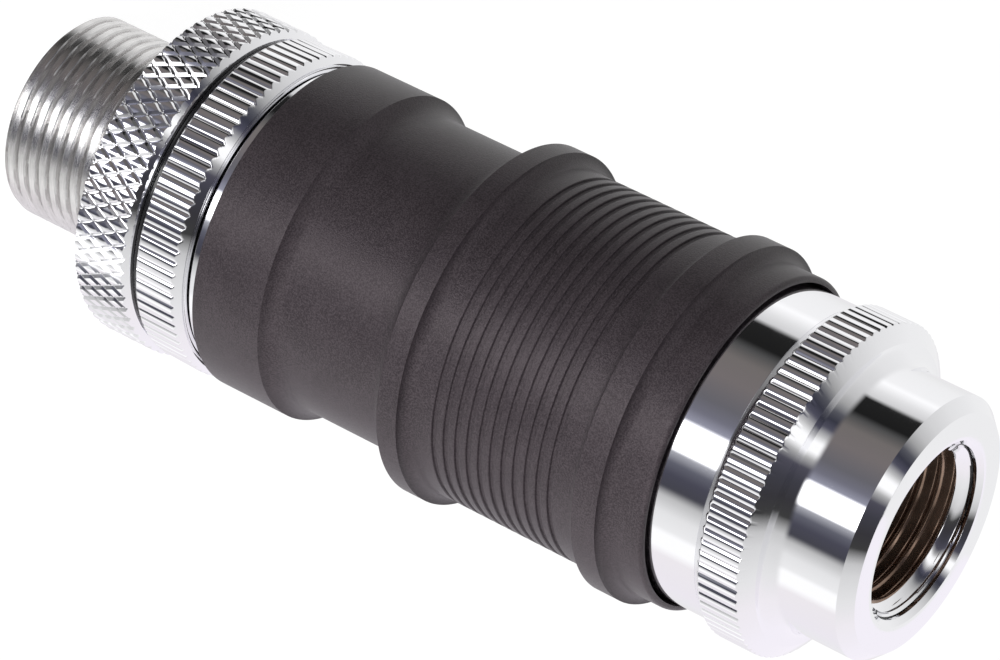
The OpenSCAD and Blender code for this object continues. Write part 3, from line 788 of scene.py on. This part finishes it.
# Inner pieces that stay as the CAD has them
kept = {"stem_seal": sealRubberAndPaintedShade, "socket_body": innerNickel, "slip_ring": whiteSlip,
        "socket_spring_seat": acetal, "socket_valve_spring": springSteel, "socket_poppet": brass,
        "socket_poppet_seal": sealRubberAndPaintedShade, "nose_seal": sealRubberAndPaintedShade, "face_seal": sealRubberAndPaintedShade,
        "plug_spring_seat": acetal, "plug_valve_spring": springSteel, "adapter_seal": sealRubberAndPaintedShade,
        "plug_poppet": brass, "plug_poppet_seal": sealRubberAndPaintedShade}
for name, material in kept.items():
    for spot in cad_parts[name].material_slots:
        spot.material = material
print("finishes set on", len(kept), "inner pieces")


studio = {"floorSize": 3.0, "floorDrop": 0.02, "floorWhite": 1.14, "shadow": 0.16, "fill": 0.22,
          "lampPlace": (0.30, -0.36, 0.17), "lampSize": 0.5, "lampPower": 4.2,
          "white": colour(0.84, 0.825, 0.845), "towardsCamera": (-0.894, 0.447)}

# What mirror surfaces show, on a scale to 255, by how far they face round from the near side in degrees:
# upright surfaces, then those that face up, then those that face down
level = [(-84, 228), (-72, 238), (-57, 243), (-54, 255), (-48, 226), (-43.6, 208), (-41.6, 34), (-33, 29),
         (-30, 79), (-25, (112, 107, 105)), (-17, (115, 109, 109)), (-8, (101, 100, 106)),
         (-3, (112, 112, 124)), (1, (150, 151, 166)), (3.4, 460), (9.6, 460), (12.6, (168, 169, 176)),
         (16, (96, 97, 108)), (20, (72, 72, 84)), (25, (68, 68, 76)), (28, 188), (34, 228), (40, 236),
         (42, 256), (48, 256), (52, (237, 233, 236)), (70, (235, 231, 237)), (84, (231, 230, 233))]
raised = [(-84, 236), (-60, 226), (-46, 210), (-38, 190), (-33, 160), (-28, (84, 85, 92)),
          (-24, (54, 55, 66)), (-20, (78, 78, 92)), (-16, 190), (-13, 256), (-9, 256), (-6, 170),
          (-2, (76, 75, 86)), (4, (62, 62, 70)), (12, (55, 54, 58)), (19, 60), (22, 140), (26, 196),
          (32, 214), (45, 228), (60, (239, 235, 239)), (84, (243, 239, 246))]
under = [(-84, 236), (-54, 236), (-44, 200), (-30, 165), (-18, 117), (-8, 94), (0, 76), (5, 145), (13, 158),
         (18, 140), (25, 194), (40, 208), (54, 224), (84, 236)]


def asLight(tone):                                  # the light that chrome shows as this tone
    tones = tone if isinstance(tone, tuple) else (tone,) * 3
    return tuple(((t / 255 + 0.055) / 1.055) ** 2.4 / 0.92 for t in tones)


def makeWorld():
    world = bpy.data.worlds.new("studio")
    bpy.context.scene.world = world
    world.use_nodes = True
    world.node_tree.nodes.clear()
    graph = Graph(world.node_tree)
    direction = graph.node("ShaderNodeTexCoord")
    x, y, z = graph.node("ShaderNodeSeparateXYZ", None, {0: direction}, (0, 1, 2))
    nearer, higher = studio["towardsCamera"]
    back, rise = y + nearer, z + higher             # with x, this points the way the mirroring surface faces
    reach = graph.maths("SQRT", x * x + back * back + rise * rise)
    facing = graph.maths("ARCTAN2", x, back * -1.0) / math.pi + 0.5
    tilt = rise / reach

    def bands(tones):
        stops = [(angle / 180 + 0.5, asLight(tone)) for angle, tone in tones]
        return graph.node("ShaderNodeValToRGB", {"stops": stops}, {0: facing})

    front = graph.mixed(graph.ranged(tilt, 0.16, 0.52), bands(level), bands(raised))
    front = graph.mixed(graph.ranged(tilt, -0.12, -0.5), front, bands(under))
    seen = graph.mixed(graph.ranged(reach, 0.42, 0.2), front, studio["white"])
    camera, glossy = graph.node("ShaderNodeLightPath", out=("Is Camera Ray", "Is Glossy Ray"))
    soft = graph.mixed(glossy, colour(studio["fill"], studio["fill"], studio["fill"]), seen)
    shown = graph.mixed(camera, soft, colour(1, 1, 1))
    light = graph.node("ShaderNodeBackground", None, {"Color": shown, "Strength": 1.0})
    graph.node("ShaderNodeOutputWorld", None, {0: light})


def makeFloor():                                    # white to the eye, clear in mirrors, with a soft shadow
    mesh = bmesh.new()
    bmesh.ops.create_grid(mesh, x_segments=1, y_segments=1, size=studio["floorSize"])
    for vertex in mesh.verts:
        vertex.co.z = -studio["floorDrop"] * mm
    floor = asObject("floor", plainData(mesh, "floor"))
    material = bpy.data.materials.new("paleFloor")
    material.use_nodes = True
    material.node_tree.nodes.clear()
    graph = Graph(material.node_tree)
    camera, glossy, through = graph.node(
        "ShaderNodeLightPath", out=("Is Camera Ray", "Is Glossy Ray", "Is Transmission Ray"))
    cloth = graph.node("ShaderNodeBsdfDiffuse", None, {"Color": colour(0.9, 0.9, 0.9)})
    white = graph.node("ShaderNodeEmission", None,
                       {"Color": colour(1, 1, 1), "Strength": studio["floorWhite"]})
    clear = graph.node("ShaderNodeBsdfTransparent")
    shown = graph.node("ShaderNodeMixShader", None, {0: camera * (1 - studio["shadow"]), 1: cloth, 2: white})
    mirrored = graph.node("ShaderNodeMixShader", None,
                          {0: graph.maths("MAXIMUM", glossy, through), 1: shown, 2: clear})
    graph.node("ShaderNodeOutputMaterial", None, {0: mirrored})
    floor.data.materials.append(material)


def makeLamp():
    lamp = bpy.data.lights.new("softLamp", "AREA")
    lamp.size, lamp.energy = studio["lampSize"], studio["lampPower"]
    holder = bpy.data.objects.new("softLamp", lamp)
    bpy.context.scene.collection.objects.link(holder)
    holder.location = studio["lampPlace"]
    holder.rotation_mode = "QUATERNION"
    aim = (cadLow + cadHigh) / 2 - Vector(studio["lampPlace"])
    holder.rotation_quaternion = aim.to_track_quat("-Z", "Y")
    holder.visible_glossy = False


# Where the camera stands, and which ways are right, up and back for it
view = {"lens": 185.22, "place": (0.000377, -0.33010, 0.20544), "right": (-0.44088, 0.40142, 0.80280),
        "up": (-0.89757, -0.19717, -0.39433), "back": (0.0, -0.89442, 0.44723)}


def makeCamera():
    camera = bpy.data.cameras.new("camera")
    camera.sensor_width, camera.lens = 36.0, view["lens"]
    camera.clip_start, camera.clip_end = 0.01, 20
    holder = bpy.data.objects.new("camera", camera)
    bpy.context.scene.collection.objects.link(holder)
    turn = Matrix((view["right"], view["up"], view["back"])).transposed().to_4x4()
    holder.matrix_world = Matrix.Translation(view["place"]) @ turn
    bpy.context.scene.camera = holder


makeWorld()
makeFloor()
makeLamp()
makeCamera()
bpy.context.scene.view_settings.view_transform = "Standard"
print("studio ready")
